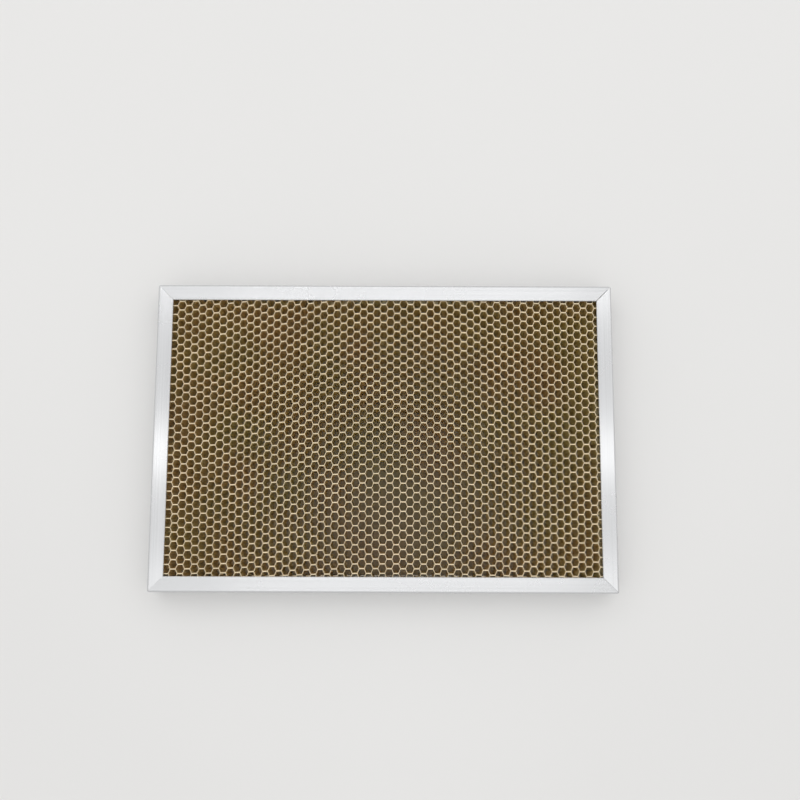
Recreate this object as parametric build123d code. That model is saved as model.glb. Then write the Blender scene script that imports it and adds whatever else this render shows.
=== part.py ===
from build123d import *
from math import asin, ceil, cos, radians, sin, sqrt, tan
import os

# Honeycomb bed for a laser cutter, in millimetres. It lies flat on its underside:
# +Z is up, +X runs along the long side and -Y is the front. The origin is the
# middle of the underside.

# Frame
frame_length = 300.0
frame_width = 200.0
frame_height = 22.0
lip_width = 10.0
rail_wall = 1.2
rail_outer_radius = 1.2
rail_inner_radius = 0.3
lip_tip_chamfer = 0.35
frame_corner_radius = 1.6

# Open width of each mitred joint, between the two rails' end faces
mitre_gap_front_left = 0.05
mitre_gap_front_right = 0.15
mitre_gap_back_left = 0.1
mitre_gap_back_right = 0.35

# L-shaped keys that join the rails inside the channels
key_leg = 25.0
key_thickness = 2.0
key_bend_radius = 1.5
key_side_clearance = 0.1

# Flush rivets through each rail's web and the key's leg
rivet_inset = 16.0
rivet_shank_radius = 1.6
rivet_head_radius = 2.5
rivet_head_depth = 0.9
rivet_tail_radius = 2.4
rivet_tail_height = 1.3
rivet_clearance = 0.05

# Honeycomb. The bond is the flat stretch where two strips are joined, and the
# slopes between bonds are as long. The fold angle is the slope's angle to the
# strip. Real cells are small, so they are drawn enlarged; 1 gives the real ones.
bond_length = 3.26
foil_thickness = 0.1
fold_angle = radians(69.5)
cell_enlargement = 2.7
core_top_clearance = 0.3
core_side_clearance = 0.3

# Places that follow from the sizes above
channel_height = frame_height - 2 * rail_wall
inside_length = frame_length - 2 * rail_wall
inside_width = frame_width - 2 * rail_wall
key_height = channel_height - 2 * (rail_inner_radius + key_side_clearance)
rivet_height = frame_height / 2
rivet_grip = rail_wall + key_thickness
core_margin = key_thickness + rivet_tail_height + core_side_clearance
core_length = inside_length - 2 * core_margin
core_width = inside_width - 2 * core_margin
core_height = channel_height - core_top_clearance

# The block of strips is pulled open until it fills the frame
foil = foil_thickness * cell_enlargement
bond = bond_length * cell_enlargement
strip_count = ceil(core_width / (bond * sin(fold_angle) + foil))
strip_pitch = core_width / strip_count
slope_rise = strip_pitch - foil
slope_angle = asin(slope_rise / bond)
slope_run = bond * cos(slope_angle)
fold_period = 2 * (bond + slope_run)
fold_count = ceil(core_length / fold_period) + 1

SIDES = {
    "front": (frame_length, (0, -frame_width / 2), 0),
    "right": (frame_width, (frame_length / 2, 0), 90),
    "back": (frame_length, (0, frame_width / 2), 180),
    "left": (frame_width, (-frame_length / 2, 0), 270),
}

# Each side's joints, at its own left end and right end seen from outside
JOINT_GAPS = {
    "front": (mitre_gap_front_left, mitre_gap_front_right),
    "right": (mitre_gap_front_right, mitre_gap_back_right),
    "back": (mitre_gap_back_right, mitre_gap_back_left),
    "left": (mitre_gap_back_left, mitre_gap_front_left),
}


def channel_section():
    """The rail's C section: the web stands at x = 0 and both lips reach towards +X."""
    outline = Pos(lip_width / 2, frame_height / 2) * Rectangle(lip_width, frame_height)
    outline = fillet(outline.vertices().group_by(Axis.X)[0], rail_outer_radius)
    pocket_depth = lip_width - rail_wall
    pocket = Pos(rail_wall + pocket_depth / 2, frame_height / 2) * Rectangle(pocket_depth, channel_height)
    pocket = fillet(pocket.vertices().group_by(Axis.X)[0], rail_inner_radius)
    section = outline - pocket
    return chamfer(section.vertices().group_by(Axis.X)[-1], lip_tip_chamfer)


def rivet_shape(clearance=0.0, with_tail=False):
    """A countersunk rivet along -Z with its head flush with z = 0, or the hole that it leaves."""
    head = rivet_head_radius + clearance
    shank = rivet_shank_radius + clearance
    half_section = Polyline(
        (0, 0),
        (head, 0),
        (shank, -rivet_head_depth),
        (shank, -rivet_grip),
        (0, -rivet_grip),
        close=True,
    )
    rivet = revolve(make_face(Plane.XZ * half_section), Axis.Z)
    if with_tail:
        rivet += Pos(0, 0, -rivet_grip - rivet_tail_height / 2) * Cylinder(rivet_tail_radius, rivet_tail_height)
    return rivet


def rivet_planes(side):
    """The two rivets' places on one side's web, each looking outwards."""
    length, (x, y), turn = SIDES[side]
    web = Pos(x, y, rivet_height) * Rot(0, 0, turn)
    reach = length / 2 - rivet_inset
    return [web * Pos(along, 0, 0) * Rot(90, 0, 0) for along in (-reach, reach)]


def rail(side):
    """One mitred rail, with countersunk holes for its rivets."""
    length, (x, y), turn = SIDES[side]
    bar = extrude(Plane.YZ * channel_section(), length / 2, both=True)
    blank = Pos(0, length / 2, 0) * extrude(RectangleRounded(length, length, frame_corner_radius), frame_height)
    bar = bar & blank
    for end, gap in zip((-1, 1), JOINT_GAPS[side]):
        mitre = Plane(origin=(end * (length / 2 - gap / sqrt(2)), 0, 0), z_dir=(end, 1, 0))
        bar = split(bar, bisect_by=mitre, keep=Keep.BOTTOM)
    bar = Pos(x, y, 0) * Rot(0, 0, turn) * bar
    for place in rivet_planes(side):
        bar -= place * rivet_shape(rivet_clearance)
    return bar


def corner_key(end_x, end_y):
    """One corner's strap, bent round the corner against both webs' inner faces."""
    x = end_x * inside_length / 2
    y = end_y * inside_width / 2
    middle_x = x - end_x * key_thickness / 2
    middle_y = y - end_y * key_thickness / 2
    bend = key_bend_radius + key_thickness / 2
    points = [(x - end_x * key_leg, middle_y), (middle_x, middle_y), (middle_x, y - end_y * key_leg)]
    spine = Pos(0, 0, rivet_height) * FilletPolyline(*points, radius=bend)
    strap_end = Plane(origin=spine @ 0, x_dir=(0, 0, 1), z_dir=spine % 0)
    key = sweep(strap_end * Rectangle(key_height, key_thickness), path=spine)
    for side in ("left" if end_x < 0 else "right", "front" if end_y < 0 else "back"):
        for place in rivet_planes(side):
            key -= place * rivet_shape(rivet_clearance)
    return key


def rivets():
    """All the corner rivets, each a solid of its own."""
    solids = []
    for side in SIDES:
        for place in rivet_planes(side):
            solids.append(place * rivet_shape(with_tail=True))
    return Compound(children=solids)


def foil_edge(offset):
    """Corner points of a strip's middle line, moved sideways by offset."""
    shift = offset * tan(slope_angle / 2)
    low = offset - slope_rise / 2
    high = offset + slope_rise / 2
    points = []
    for fold in range(-fold_count, fold_count):
        start = fold * fold_period - bond / 2
        points.append((start + shift, low))
        points.append((start + bond - shift, low))
        points.append((start + bond + slope_run - shift, high))
        points.append((start + 2 * bond + slope_run + shift, high))
    return points


def foil_strip(index):
    """One folded strip. Every other one is turned over, so that its bonds meet its neighbours'."""
    outline = foil_edge(foil / 2) + foil_edge(-foil / 2)[::-1]
    section = make_face(Polyline(*outline, close=True)) & Rectangle(core_length, strip_pitch * 2)
    if index % 2:
        section = mirror(section, about=Plane.XZ)
    place = (index + 0.5) * strip_pitch - core_width / 2
    return Pos(0, place, rail_wall) * extrude(section, core_height)


def build():
    """Every piece of the bed, by its name."""
    pieces = {}
    for side in SIDES:
        pieces[f"rail_{side}"] = rail(side)
    for end_y, row in ((-1, "front"), (1, "back")):
        for end_x, column in ((-1, "left"), (1, "right")):
            pieces[f"corner_key_{row}_{column}"] = corner_key(end_x, end_y)
    pieces["corner_rivets"] = rivets()
    for index in range(strip_count):
        pieces[f"foil_strip_{index + 1:02d}"] = foil_strip(index)
    return pieces


os.makedirs("parts", exist_ok=True)
for name, piece in build().items():
    export_step(piece, f"parts/{name}.step")
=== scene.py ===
from math import cos, pi, radians

import bmesh
import bpy
from mathutils import Matrix, Vector, noise


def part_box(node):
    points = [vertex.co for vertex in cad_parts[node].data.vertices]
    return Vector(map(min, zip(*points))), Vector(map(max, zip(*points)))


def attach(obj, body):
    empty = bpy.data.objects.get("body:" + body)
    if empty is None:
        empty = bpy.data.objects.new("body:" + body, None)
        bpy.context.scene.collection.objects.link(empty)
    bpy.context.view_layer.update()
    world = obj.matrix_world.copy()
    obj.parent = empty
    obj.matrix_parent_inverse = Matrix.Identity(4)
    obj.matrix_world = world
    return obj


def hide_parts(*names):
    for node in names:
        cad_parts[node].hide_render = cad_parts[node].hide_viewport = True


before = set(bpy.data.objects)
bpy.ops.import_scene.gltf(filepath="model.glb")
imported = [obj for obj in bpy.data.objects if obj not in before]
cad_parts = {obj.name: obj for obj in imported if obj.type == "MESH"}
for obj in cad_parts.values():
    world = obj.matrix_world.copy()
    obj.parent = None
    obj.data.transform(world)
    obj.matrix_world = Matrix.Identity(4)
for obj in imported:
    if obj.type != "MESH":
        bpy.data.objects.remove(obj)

bl_info = {
    "name": "Honeycomb laser bed",
    "version": (1, 0, 0),
    "blender": (4, 5, 0),
    "location": "3D View > Sidebar > Laser bed",
    "description": "Finishes the frame and models the foil core of a honeycomb laser bed",
    "category": "Object",
}

BODY = "root"
MM = 0.001


# CAD nodes and their places

def nodes_named(start):
    """The names of all the CAD nodes that start this way."""
    return tuple(sorted(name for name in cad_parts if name.startswith(start)))


def span(names):
    """Lowest and highest corners of several CAD nodes together, in metres."""
    boxes = [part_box(name) for name in names]
    low = Vector(min(box[0][axis] for box in boxes) for axis in range(3))
    high = Vector(max(box[1][axis] for box in boxes) for axis in range(3))
    return low, high


RAILS_ALONG_X = ("rail_front", "rail_back")
RAILS_ALONG_Y = ("rail_left", "rail_right")
KEYS = nodes_named("corner_key")
RIVETS = nodes_named("corner_rivets")
STRIPS = nodes_named("foil_strip")
FRAME_LOW, FRAME_HIGH = span(RAILS_ALONG_X + RAILS_ALONG_Y)
CORE_LOW, CORE_HIGH = span(STRIPS)


# Settings that a user would change

class CoreSettings(bpy.types.PropertyGroup):
    """Sizes and colours of the foil core."""

    row_pitch: bpy.props.FloatProperty(
        name="Row pitch",
        description="Cell size across the bonds",
        default=6.05 * MM,
        unit="LENGTH",
        precision=5,
    )
    column_pitch: bpy.props.FloatProperty(
        name="Column pitch",
        description="From one bond to the next along a strip",
        default=4.4 * MM,
        unit="LENGTH",
        precision=5,
    )
    bond: bpy.props.FloatProperty(
        name="Bond length",
        description="Flat stretch where two strips are joined",
        default=3.26 * MM,
        unit="LENGTH",
        precision=5,
    )
    foil: bpy.props.FloatProperty(
        name="Foil",
        description="Thickness of the foil with its burr",
        default=0.34 * MM,
        unit="LENGTH",
        precision=5,
    )
    bow: bpy.props.FloatProperty(
        name="Bow",
        description="How far the rows sag towards the left end",
        default=6.8 * MM,
        unit="LENGTH",
        precision=5,
    )
    wander: bpy.props.FloatProperty(
        name="Wander",
        description="Unevenness of the folds",
        default=0.16 * MM,
        unit="LENGTH",
        precision=5,
    )
    # The foil itself is silver; this warm tint is a painted reflection of brown cardboard under the bed
    foil_colour_with_painted_reflection: bpy.props.FloatVectorProperty(
        name="Foil colour",
        description="Colour of the plated foil",
        default=(1.0, 0.84, 0.50),
        min=0,
        max=1,
        size=3,
        subtype="COLOR",
    )
    edge_colour: bpy.props.FloatVectorProperty(
        name="Cut edge colour",
        description="Colour of the foil's cut edges",
        default=(0.77, 0.64, 0.43),
        min=0,
        max=1,
        size=3,
        subtype="COLOR",
    )


class FrameSettings(bpy.types.PropertyGroup):
    """Finish of the rails, keys and rivets."""

    rail_colour: bpy.props.FloatVectorProperty(
        name="Rail colour",
        description="Colour of the satin aluminium",
        default=(0.655, 0.66, 0.668),
        min=0,
        max=1,
        size=3,
        subtype="COLOR",
    )
    rail_roughness: bpy.props.FloatProperty(
        name="Rail roughness",
        description="How soft the rails' reflections are",
        default=0.27,
        min=0,
        max=1,
        subtype="FACTOR",
    )
    key_colour: bpy.props.FloatVectorProperty(
        name="Key colour",
        description="Colour of the zinc-plated keys",
        default=(0.6, 0.61, 0.63),
        min=0,
        max=1,
        size=3,
        subtype="COLOR",
    )
    key_roughness: bpy.props.FloatProperty(
        name="Key roughness",
        description="How soft the keys' reflections are",
        default=0.42,
        min=0,
        max=1,
        subtype="FACTOR",
    )
    rivet_colour: bpy.props.FloatVectorProperty(
        name="Rivet colour",
        description="Colour of the rivets",
        default=(0.74, 0.75, 0.76),
        min=0,
        max=1,
        size=3,
        subtype="COLOR",
    )
    rivet_roughness: bpy.props.FloatProperty(
        name="Rivet roughness",
        description="How soft the rivets' reflections are",
        default=0.4,
        min=0,
        max=1,
        subtype="FACTOR",
    )


class StageSettings(bpy.types.PropertyGroup):
    """The floor, lamps and camera."""

    floor_colour: bpy.props.FloatVectorProperty(
        name="Floor colour",
        description="Colour of the plain floor",
        default=(0.76, 0.755, 0.745),
        min=0,
        max=1,
        size=3,
        subtype="COLOR",
    )
    world_strength: bpy.props.FloatProperty(
        name="World strength",
        description="Soft light from all round",
        default=0.82,
        min=0,
        max=2,
    )
    lamp_glow: bpy.props.FloatProperty(
        name="Lamp glow",
        description="Brightness of the large soft lamp overhead",
        default=0.18,
        min=0,
    )
    tube_glow: bpy.props.FloatProperty(
        name="Tube glow",
        description="Brightness of the slim lamp that the side rails mirror",
        default=1.5,
        min=0,
    )
    focal_length: bpy.props.FloatProperty(
        name="Focal length",
        description="Focal length in millimetres",
        default=40.5,
        min=10,
        max=200,
    )


# Shader building

# A colour Mix node's sockets, which share their names with hidden ones
MIX_FACTOR = 0
MIX_A = 6
MIX_B = 7
MIX_RESULT = 2


def add_node(tree, kind, **values):
    """One shader node, with the named settings or inputs given."""
    made = tree.nodes.new(kind)
    for key, value in values.items():
        if key in made.inputs:
            made.inputs[key].default_value = value
        else:
            setattr(made, key, value)
    return made


def add_noise(tree, where, **values):
    """A noise texture that reads the given coordinates."""
    made = add_node(tree, "ShaderNodeTexNoise", **values)
    tree.links.new(where, made.inputs["Vector"])
    return made


def object_coordinates(tree):
    """The piece's own coordinates, in metres."""
    return add_node(tree, "ShaderNodeTexCoord").outputs["Object"]


def ramp(tree, source, ends, results=(0, 1)):
    """Maps the range between two values to the range between two results."""
    made = add_node(tree, "ShaderNodeMapRange")
    made.inputs["From Min"].default_value, made.inputs["From Max"].default_value = ends
    made.inputs["To Min"].default_value, made.inputs["To Max"].default_value = results
    tree.links.new(source, made.inputs["Value"])
    return made.outputs["Result"]


def mix(tree, first, second, factor):
    """Mixes two colours, each plain or varying, by a varying factor."""
    made = add_node(tree, "ShaderNodeMix", data_type="RGBA")
    tree.links.new(factor, made.inputs[MIX_FACTOR])
    for socket, colour in ((MIX_A, first), (MIX_B, second)):
        if isinstance(colour, bpy.types.NodeSocket):
            tree.links.new(colour, made.inputs[socket])
        else:
            made.inputs[socket].default_value = (*colour, 1)
    return made.outputs[MIX_RESULT]


def tinged(colour, red, green, blue):
    """A colour with each channel multiplied, and kept from passing 1."""
    return tuple(min(1.0, channel * share) for channel, share in zip(colour, (red, green, blue)))


def scaled(colour, share):
    """A colour made darker or lighter."""
    return tinged(colour, share, share, share)


def new_material(name, **sockets):
    """A material with one Principled shader, and its constants set on the shader itself."""
    made = bpy.data.materials.new(name)
    made.use_nodes = True
    shader = made.node_tree.nodes["Principled BSDF"]
    for key, value in sockets.items():
        shader.inputs[key].default_value = value
    return made, made.node_tree, shader


def new_group(name, inputs, outputs):
    """A node group with the named inputs and outputs, and its two end nodes."""
    tree = bpy.data.node_groups.new(name, "ShaderNodeTree")
    for label, (kind, default) in inputs.items():
        tree.interface.new_socket(label, in_out="INPUT", socket_type=kind).default_value = default
    for label, kind in outputs.items():
        tree.interface.new_socket(label, in_out="OUTPUT", socket_type=kind)
    return tree, tree.nodes.new("NodeGroupInput"), tree.nodes.new("NodeGroupOutput")


# Finishes of the rails, keys and rivets

LINES_GROUP = "drawn_lines"
LINE_SCALE = 900.0
LINE_STRETCH = 0.004
LINE_DEPTH = 0.001 * MM
SMUDGE_SCALE = 22.0
ANISOTROPY = 0.95

# Noise stays around its middle, so these values count as each pattern's two ends
LINE_ENDS = (0.3, 0.7)
SMUDGE_ENDS = (0.35, 0.7)

# How far the smudges take the roughness down and up
SMUDGE_SMOOTHER = 0.012
SMUDGE_ROUGHER = 0.016

# How much the lines darken each metal, which is three times what they lighten it
RAIL_CONTRAST = 0.06
KEY_CONTRAST = 0.2
RIVET_CONTRAST = 0.15
DARK_TO_LIGHT = 3

# How the lines are stretched: long on the rails, short on the rolled keys, not at all on the rivets
ALONG_X = (LINE_STRETCH, 1, 1)
ALONG_Y = (1, LINE_STRETCH, 1)
ROLLED = (0.2, 0.2, 1)
EVEN = (1, 1, 1)


def drawn_lines_group():
    """Fine lines along one direction, as a die leaves them, and soft smudges. Made once and shared."""
    if LINES_GROUP in bpy.data.node_groups:
        return bpy.data.node_groups[LINES_GROUP]
    tree, inside, out = new_group(
        LINES_GROUP,
        inputs={
            "Stretch": ("NodeSocketVector", EVEN),
            "Line scale": ("NodeSocketFloat", LINE_SCALE),
            "Smudge scale": ("NodeSocketFloat", SMUDGE_SCALE),
            "Depth": ("NodeSocketFloat", LINE_DEPTH),
        },
        outputs={
            "Lines": "NodeSocketFloat",
            "Smudges": "NodeSocketFloat",
            "Normal": "NodeSocketVector",
        },
    )
    link = tree.links.new
    where = object_coordinates(tree)
    stretched = add_node(tree, "ShaderNodeVectorMath", operation="MULTIPLY")
    link(where, stretched.inputs[0])
    link(inside.outputs["Stretch"], stretched.inputs[1])
    lines = add_noise(tree, stretched.outputs["Vector"], Detail=3.0, Roughness=0.6)
    link(inside.outputs["Line scale"], lines.inputs["Scale"])
    smudges = add_noise(tree, where, Detail=4.0, Roughness=0.55)
    link(inside.outputs["Smudge scale"], smudges.inputs["Scale"])
    bump = add_node(tree, "ShaderNodeBump", Strength=1.0)
    link(lines.outputs["Fac"], bump.inputs["Height"])
    link(inside.outputs["Depth"], bump.inputs["Distance"])
    link(lines.outputs["Fac"], out.inputs["Lines"])
    link(smudges.outputs["Fac"], out.inputs["Smudges"])
    link(bump.outputs["Normal"], out.inputs["Normal"])
    return tree


def drawn_metal(name, colour, roughness, stretch, contrast, axis=None):
    """Metal with faint lines and smudges. Where it has an axis, its gloss spreads across the lines."""
    made, tree, shader = new_material(name, Metallic=1.0)
    if axis:
        shader.inputs["Anisotropic"].default_value = ANISOTROPY
        around = add_node(tree, "ShaderNodeTangent", direction_type="RADIAL", axis=axis)
        tree.links.new(around.outputs["Tangent"], shader.inputs["Tangent"])
    marks = add_node(tree, "ShaderNodeGroup", node_tree=drawn_lines_group(), Stretch=stretch)
    streaks = ramp(tree, marks.outputs["Lines"], LINE_ENDS)
    darker = scaled(colour, 1 - contrast)
    lighter = scaled(colour, 1 + contrast / DARK_TO_LIGHT)
    smooth_to_rough = (roughness - SMUDGE_SMOOTHER, roughness + SMUDGE_ROUGHER)
    smudged = ramp(tree, marks.outputs["Smudges"], SMUDGE_ENDS, smooth_to_rough)
    tree.links.new(mix(tree, darker, lighter, streaks), shader.inputs["Base Color"])
    tree.links.new(smudged, shader.inputs["Roughness"])
    tree.links.new(marks.outputs["Normal"], shader.inputs["Normal"])
    return made


def dress(names, material):
    """Gives a finish to CAD nodes that keep their shape."""
    for name in names:
        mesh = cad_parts[name].data
        mesh.materials.clear()
        mesh.materials.append(material)


# Finish of the foil

PATCH_SCALE = 48.0
HUE_SCALE = 31.0
GRAIN_SCALE = 700.0

# Which drift of the hue shows, out of all that the noise holds
HUE_DRAW = 3.7

# Values of the noise that count as each pattern's two ends
PATCH_ENDS = (0.35, 0.65)
HUE_ENDS = (0.36, 0.64)
GRAIN_ENDS = (0.3, 0.7)
EDGE_PATCH_ENDS = (0.4, 0.6)

# Shares of red, green and blue at both ends of the hue's drift
GREENISH = (0.93, 1.02, 0.95)
REDDISH = (1.03, 0.95, 1.0)

# How dark the patches go on the walls and on the cut edges
WALL_PATCH = 0.95
EDGE_PATCH = 0.86

# The share of the patches beside the drift, and the roughness, from one end of the grain to the other
PATCH_SHARE = (0.35, 0.65)
FOIL_ROUGHNESS = (0.3, 0.44)

# The cut edge fades in over this depth below the top, and reflects less than the walls
EDGE_DEPTH = 0.55 * MM
EDGE_BRIM = 0.05 * MM
WALL_TO_EDGE_METALLIC = (0.8, 0.1)


def foil_material(settings):
    """Thin foil, silver itself, tinted warm as a painted reflection of brown cardboard under the bed;
    it drifts in hue from cell to cell, with pale cut edges.
    """
    made, tree, shader = new_material("honeycomb_foil")
    where = object_coordinates(tree)
    patches = add_noise(tree, where, Scale=PATCH_SCALE, Detail=2.0, Roughness=0.5).outputs["Fac"]
    hues = add_noise(
        tree,
        where,
        noise_dimensions="4D",
        W=HUE_DRAW,
        Scale=HUE_SCALE,
        Detail=1.0,
        Roughness=0.4,
    ).outputs["Fac"]
    grain = add_noise(tree, where, Scale=GRAIN_SCALE, Detail=3.0, Roughness=0.6).outputs["Fac"]

    # The walls
    # foil holds the warm tint, a painted reflection of brown cardboard laid on silver foil
    foil = tuple(settings.foil_colour_with_painted_reflection)
    drift = mix(tree, tinged(foil, *GREENISH), tinged(foil, *REDDISH), ramp(tree, hues, HUE_ENDS))
    patched = mix(tree, scaled(foil, WALL_PATCH), foil, ramp(tree, patches, PATCH_ENDS))
    walls = mix(tree, drift, patched, ramp(tree, grain, GRAIN_ENDS, PATCH_SHARE))

    # The cut edges, by height
    height = add_node(tree, "ShaderNodeSeparateXYZ")
    tree.links.new(where, height.inputs["Vector"])
    cut = ramp(tree, height.outputs["Z"], (CORE_HIGH.z - EDGE_DEPTH, CORE_HIGH.z - EDGE_BRIM))
    edge = tuple(settings.edge_colour)
    edges = mix(tree, scaled(edge, EDGE_PATCH), edge, ramp(tree, patches, EDGE_PATCH_ENDS))

    tree.links.new(mix(tree, walls, edges, cut), shader.inputs["Base Color"])
    tree.links.new(ramp(tree, cut, (0, 1), WALL_TO_EDGE_METALLIC), shader.inputs["Metallic"])
    tree.links.new(ramp(tree, grain, GRAIN_ENDS, FOIL_ROUGHNESS), shader.inputs["Roughness"])
    return made


# Mesh building

def everything(bm):
    """All the points, edges and faces of a mesh."""
    return bm.verts[:] + bm.edges[:] + bm.faces[:]


def points_of(result):
    """The points among what a mesh operator made."""
    return [item for item in result["geom"] if isinstance(item, bmesh.types.BMVert)]


def repeat(bm, step, copies):
    """Adds copies of the whole mesh, each one step further on."""
    bmesh.ops.spin(
        bm,
        geom=everything(bm),
        axis=(0, 0, 1),
        dvec=step,
        angle=0,
        steps=copies,
        use_duplicate=True,
    )


def finished_mesh(bm, name):
    """Writes a bmesh that is done into a mesh of its own."""
    mesh = bpy.data.meshes.new(name)
    bm.to_mesh(mesh)
    bm.free()
    return mesh


# Honeycomb core

# Spare folds and strips, which the trim takes off again
SPARE_FOLDS = 4
SPARE_STRIPS = 10

# Where the lattice starts: column pitches left of the frame, and row pitches in front of it
FIRST_BOND = 1.05
FIRST_ROW = 0.25

MERGE_DISTANCE = 0.01 * MM
CUT_TOLERANCE = 0.0001 * MM

# Each end's sag in bows: at the front rail, and what it gains by the back rail
LEFT_SAG = 0.45
LEFT_SAG_GAIN = 1.1
RIGHT_SAG = 0.208
RIGHT_SAG_GAIN = 0.104

# Where along X each end's sag begins, and where it is full
LEFT_SAG_START = -5 * MM
LEFT_SAG_FULL = FRAME_LOW.x + 10 * MM
RIGHT_SAG_START = 15 * MM
RIGHT_SAG_FULL = 110 * MM

# How far the columns are drawn out at the left end, and over which stretch
SPREAD = 1.7 * MM
SPREAD_START = FRAME_LOW.x + 65 * MM
SPREAD_FULL = FRAME_LOW.x + 8 * MM

# How quickly the folds' unevenness changes from place to place, and its seed
WANDER_SCALE = 95
WANDER_SEED = 5


def fold_wire(bm, settings):
    """A strip's middle line: bond, slope, bond on the other side and slope back, over and over."""
    slope_run = settings.column_pitch - settings.bond
    slope_rise = settings.row_pitch / 2 - settings.foil
    tip = bm.verts.new((-settings.bond / 2, -slope_rise / 2, 0))
    for step in (
        (settings.bond, 0, 0),
        (slope_run, slope_rise, 0),
        (settings.bond, 0, 0),
        (slope_run, -slope_rise, 0),
    ):
        tip = bmesh.ops.extrude_vert_indiv(bm, verts=[tip])["verts"][0]
        bmesh.ops.translate(bm, verts=[tip], vec=step)
    period = 2 * settings.column_pitch
    folds = int((CORE_HIGH.x - CORE_LOW.x) / period) + SPARE_FOLDS
    repeat(bm, (period, 0, 0), folds)
    bmesh.ops.remove_doubles(bm, verts=bm.verts[:], dist=MERGE_DISTANCE)


def raise_ribbon(bm):
    """Turns the wire into a ribbon of the core's height."""
    walls = bmesh.ops.extrude_edge_only(bm, edges=bm.edges[:])
    bmesh.ops.translate(bm, verts=points_of(walls), vec=(0, 0, CORE_HIGH.z - CORE_LOW.z))


def lay_ribbons(bm, settings):
    """Adds the ribbon's turned-over twin half a row away, then repeats the pair row by row."""
    half_row = settings.row_pitch / 2
    twin = points_of(bmesh.ops.duplicate(bm, geom=everything(bm)))
    bmesh.ops.scale(bm, verts=twin, vec=(1, -1, 1))
    bmesh.ops.translate(bm, verts=twin, vec=(0, half_row, 0))
    strips = int((CORE_HIGH.y - CORE_LOW.y) / half_row) + SPARE_STRIPS
    repeat(bm, (0, settings.row_pitch, 0), strips // 2)


def ease(value, start, end):
    """Rises smoothly from 0 at start to 1 at end."""
    share = min(max((value - start) / (end - start), 0), 1)
    return 0.5 - 0.5 * cos(pi * share)


def settle(point, settings):
    """Moves a point of the even lattice to where the pulled-open block has it.

    The rows sag towards the left end, most of all at the back, and a little towards the
    right end. The columns near the left end are drawn outwards, and the folds wander.
    """
    left = 1 - ease(point.x, LEFT_SAG_FULL, LEFT_SAG_START)
    right = ease(point.x, RIGHT_SAG_START, RIGHT_SAG_FULL)
    back = (point.y - FRAME_LOW.y) / (FRAME_HIGH.y - FRAME_LOW.y)
    left_sag = settings.bow * left * (LEFT_SAG + LEFT_SAG_GAIN * back)
    right_sag = settings.bow * right * (RIGHT_SAG + RIGHT_SAG_GAIN * back)
    spread = SPREAD * (1 - ease(point.x, SPREAD_FULL, SPREAD_START))
    drift = noise.noise_vector(Vector((point.x, point.y, 0)) * WANDER_SCALE) * settings.wander
    point.x += drift.x - spread
    point.y += drift.y - (left_sag + right_sag)


def trim(bm, settings):
    """Cuts the ribbons off straight at the core's four sides."""
    half_foil = settings.foil / 2
    for place, outward in (
        ((CORE_LOW.x, 0, 0), (-1, 0, 0)),
        ((CORE_HIGH.x, 0, 0), (1, 0, 0)),
        ((0, CORE_LOW.y + half_foil, 0), (0, -1, 0)),
        ((0, CORE_HIGH.y - half_foil, 0), (0, 1, 0)),
    ):
        bmesh.ops.bisect_plane(
            bm,
            geom=everything(bm),
            dist=CUT_TOLERANCE,
            plane_co=place,
            plane_no=outward,
            clear_outer=True,
        )


def core_mesh(settings):
    """Folded ribbons side by side, settled and then trimmed to the core's outline."""
    bm = bmesh.new()
    fold_wire(bm, settings)
    raise_ribbon(bm)
    lay_ribbons(bm, settings)
    first_bond = FRAME_LOW.x - settings.column_pitch * FIRST_BOND
    first_row = FRAME_LOW.y - settings.row_pitch * FIRST_ROW
    bmesh.ops.translate(bm, verts=bm.verts[:], vec=(first_bond, first_row, CORE_LOW.z))
    noise.seed_set(WANDER_SEED)
    for vert in bm.verts:
        settle(vert.co, settings)
    trim(bm, settings)
    bmesh.ops.recalc_face_normals(bm, faces=bm.faces[:])
    return finished_mesh(bm, "honeycomb_core")


def add_core(settings):
    """The foil core as one piece that stands for all the strips."""
    core = bpy.data.objects.new("honeycomb_core", core_mesh(settings))
    bpy.context.scene.collection.objects.link(core)
    wall = core.modifiers.new("foil", "SOLIDIFY")
    wall.thickness = settings.foil
    wall.offset = 0
    wall.use_even_offset = True
    core.data.materials.append(foil_material(settings))
    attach(core, BODY)
    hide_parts(*STRIPS)


# Stage

FLOOR_REACH = 4.0
FLOOR_ROUGHNESS = 0.8
MOTTLE_SCALE = 3.0
MOTTLE = 0.015

# Heights of the lamps, in metres
HIGH_LAMPS = 1.5
LOW_LAMPS = 1.3

# How bright the two lamps behind the bed are beside the one overhead
PANEL_SHARE = 1.9
REAR_SHARE = 1.7

# Two rows of small lamps, in front of the bed's middle and behind it
ROWS = {"front": -0.19, "back": 0.43}
ROW_LAMPS = 20
ROW_SPACING = 0.036
ROW_SHIFT = 0.02
ROW_SHARE = 4

# The camera looks nearly straight down, from above the front half of the bed
CAMERA_PLACE = Vector((10.4, -53.2, 603.8)) * MM
CAMERA_TARGET = Vector((10.3, 23.5, 22.0)) * MM
CAMERA_ROLL = radians(0.21)
SENSOR_WIDTH = 36
CLIP_START = 0.01


def floor_material(colour):
    """A plain pale floor with the faintest mottling."""
    made, tree, shader = new_material("plain_floor", Roughness=FLOOR_ROUGHNESS)
    mottling = add_noise(tree, object_coordinates(tree), Scale=MOTTLE_SCALE, Detail=2.0)
    shade = mix(tree, scaled(colour, 1 - MOTTLE), scaled(colour, 1 + MOTTLE), mottling.outputs["Fac"])
    tree.links.new(shade, shader.inputs["Base Color"])
    return made


def add_floor(settings):
    """A large flat floor under the frame."""
    bm = bmesh.new()
    bmesh.ops.create_grid(bm, x_segments=1, y_segments=1, size=FLOOR_REACH)
    bmesh.ops.translate(bm, verts=bm.verts[:], vec=(0, 0, FRAME_LOW.z))
    floor = bpy.data.objects.new("floor", finished_mesh(bm, "floor"))
    floor.data.materials.append(floor_material(tuple(settings.floor_colour)))
    bpy.context.scene.collection.objects.link(floor)


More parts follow.
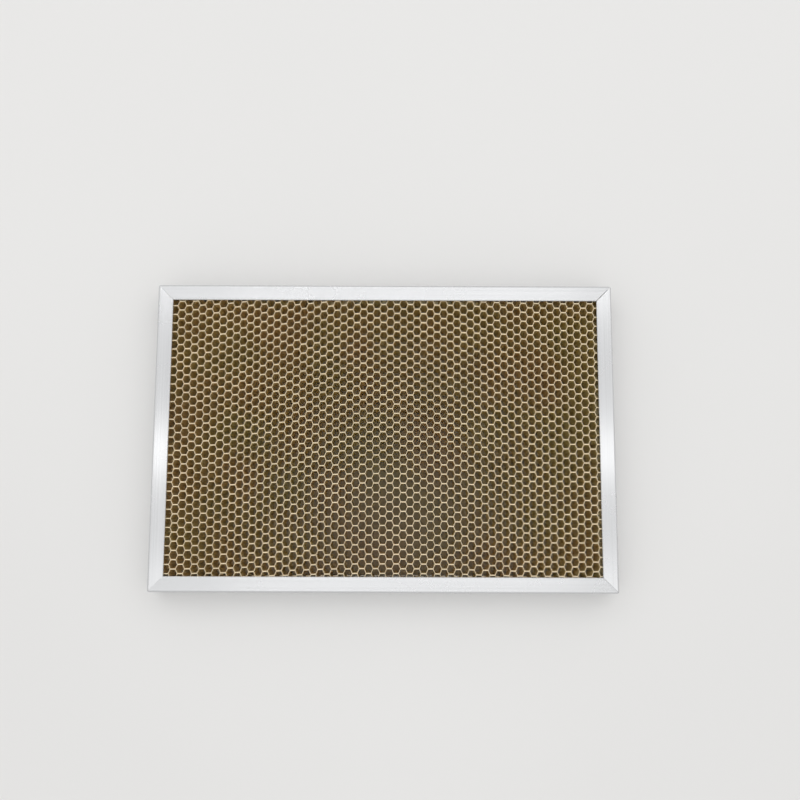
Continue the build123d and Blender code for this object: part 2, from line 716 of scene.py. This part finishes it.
def add_lamp(name, place, length, width, glow):
    """A soft lamp that shines straight down, by its size along X and Y and its brightness."""
    data = bpy.data.lights.new(name, "AREA")
    data.shape = "RECTANGLE"
    data.size = length
    data.size_y = width
    data.energy = glow * pi * length * width
    lamp = bpy.data.objects.new(name, data)
    lamp.location = place
    bpy.context.scene.collection.objects.link(lamp)


def add_lamps(settings):
    """Soft lamps, a slim one that the side rails mirror, and the rows that the long rails mirror."""
    soft = settings.lamp_glow
    slim = settings.tube_glow
    add_lamp("overhead", place=(0, 0.1, HIGH_LAMPS), length=3.2, width=3.2, glow=soft)
    add_lamp("tube", place=(0, 0.085, LOW_LAMPS), length=1.7, width=0.07, glow=slim)
    add_lamp("panel", place=(0, 0.9, HIGH_LAMPS), length=3.2, width=1.6, glow=soft * PANEL_SHARE)
    add_lamp("rear", place=(0, 0.85, LOW_LAMPS), length=2.4, width=0.8, glow=soft * REAR_SHARE)
    for row, y in ROWS.items():
        for index in range(ROW_LAMPS):
            x = (index - (ROW_LAMPS - 1) / 2) * ROW_SPACING + ROW_SHIFT
            place = (x, y, LOW_LAMPS)
            add_lamp(f"{row}_{index}", place, length=0.009, width=0.09, glow=slim * ROW_SHARE)


def add_world(settings):
    """Plain white light from all round."""
    world = bpy.data.worlds.new("studio")
    world.use_nodes = True
    background = world.node_tree.nodes["Background"]
    background.inputs["Color"].default_value = (1, 1, 1, 1)
    background.inputs["Strength"].default_value = settings.world_strength
    bpy.context.scene.world = world


def add_camera(settings):
    """The camera, turned to its target and rolled a little."""
    forward = (CAMERA_TARGET - CAMERA_PLACE).normalized()
    right = forward.cross(Vector((0, 1, 0))).normalized()
    up = right.cross(forward)
    turn = Matrix((right, up, -forward)).transposed().to_4x4()
    data = bpy.data.cameras.new("camera")
    data.lens = settings.focal_length
    data.sensor_width = SENSOR_WIDTH
    data.clip_start = CLIP_START
    camera = bpy.data.objects.new("camera", data)
    camera.matrix_world = Matrix.Translation(CAMERA_PLACE) @ turn @ Matrix.Rotation(CAMERA_ROLL, 4, "Z")
    bpy.context.scene.collection.objects.link(camera)
    bpy.context.scene.camera = camera


# Operators

class LASERBED_OT_frame(bpy.types.Operator):
    """Finish the four rails of the frame"""

    bl_idname = "laserbed.frame"
    bl_label = "Finish the rails"

    def execute(self, context):
        settings = context.scene.laserbed_frame
        colour = tuple(settings.rail_colour)
        roughness = settings.rail_roughness
        along_x = drawn_metal("rail_satin_x", colour, roughness, ALONG_X, RAIL_CONTRAST, axis="X")
        along_y = drawn_metal("rail_satin_y", colour, roughness, ALONG_Y, RAIL_CONTRAST, axis="Y")
        dress(RAILS_ALONG_X, along_x)
        dress(RAILS_ALONG_Y, along_y)
        return {"FINISHED"}


class LASERBED_OT_joints(bpy.types.Operator):
    """Finish the corner keys and the rivets"""

    bl_idname = "laserbed.joints"
    bl_label = "Finish the keys and rivets"

    def execute(self, context):
        settings = context.scene.laserbed_frame
        key_colour = tuple(settings.key_colour)
        rivet_colour = tuple(settings.rivet_colour)
        zinc = drawn_metal("key_zinc", key_colour, settings.key_roughness, ROLLED, KEY_CONTRAST)
        satin = drawn_metal("rivet_satin", rivet_colour, settings.rivet_roughness, EVEN, RIVET_CONTRAST)
        dress(KEYS, zinc)
        dress(RIVETS, satin)
        return {"FINISHED"}


class LASERBED_OT_core(bpy.types.Operator):
    """Model the foil honeycomb between the rails"""

    bl_idname = "laserbed.core"
    bl_label = "Model the honeycomb core"

    def execute(self, context):
        add_core(context.scene.laserbed_core)
        return {"FINISHED"}


class LASERBED_OT_stage(bpy.types.Operator):
    """Set the floor, the lamps and the camera"""

    bl_idname = "laserbed.stage"
    bl_label = "Set the stage"

    def execute(self, context):
        settings = context.scene.laserbed_stage
        add_floor(settings)
        add_lamps(settings)
        add_world(settings)
        add_camera(settings)
        context.scene.view_settings.view_transform = "Standard"
        return {"FINISHED"}


class LASERBED_PT_panel(bpy.types.Panel):
    """Lists the bed's settings and what makes each of its pieces"""

    bl_idname = "LASERBED_PT_panel"
    bl_label = "Laser bed"
    bl_space_type = "VIEW_3D"
    bl_region_type = "UI"
    bl_category = "Laser bed"

    def draw(self, context):
        for group_name, settings in SETTINGS.items():
            box = self.layout.box()
            for name in settings.__annotations__:
                box.prop(getattr(context.scene, group_name), name)
        for operator in OPERATORS:
            self.layout.operator(operator.bl_idname)


SETTINGS = {
    "laserbed_core": CoreSettings,
    "laserbed_frame": FrameSettings,
    "laserbed_stage": StageSettings,
}
OPERATORS = (LASERBED_OT_frame, LASERBED_OT_joints, LASERBED_OT_core, LASERBED_OT_stage)
CLASSES = (*SETTINGS.values(), *OPERATORS, LASERBED_PT_panel)


def register():
    for cls in CLASSES:
        bpy.utils.register_class(cls)
    for group_name, settings in SETTINGS.items():
        setattr(bpy.types.Scene, group_name, bpy.props.PointerProperty(type=settings))


def unregister():
    for group_name in SETTINGS:
        delattr(bpy.types.Scene, group_name)
    for cls in reversed(CLASSES):
        bpy.utils.unregister_class(cls)


def main():
    """Makes the whole scene."""
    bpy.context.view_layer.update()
    register()
    bpy.ops.laserbed.frame()
    bpy.ops.laserbed.joints()
    bpy.ops.laserbed.core()
    bpy.ops.laserbed.stage()


if __name__ == "__main__":
    main()
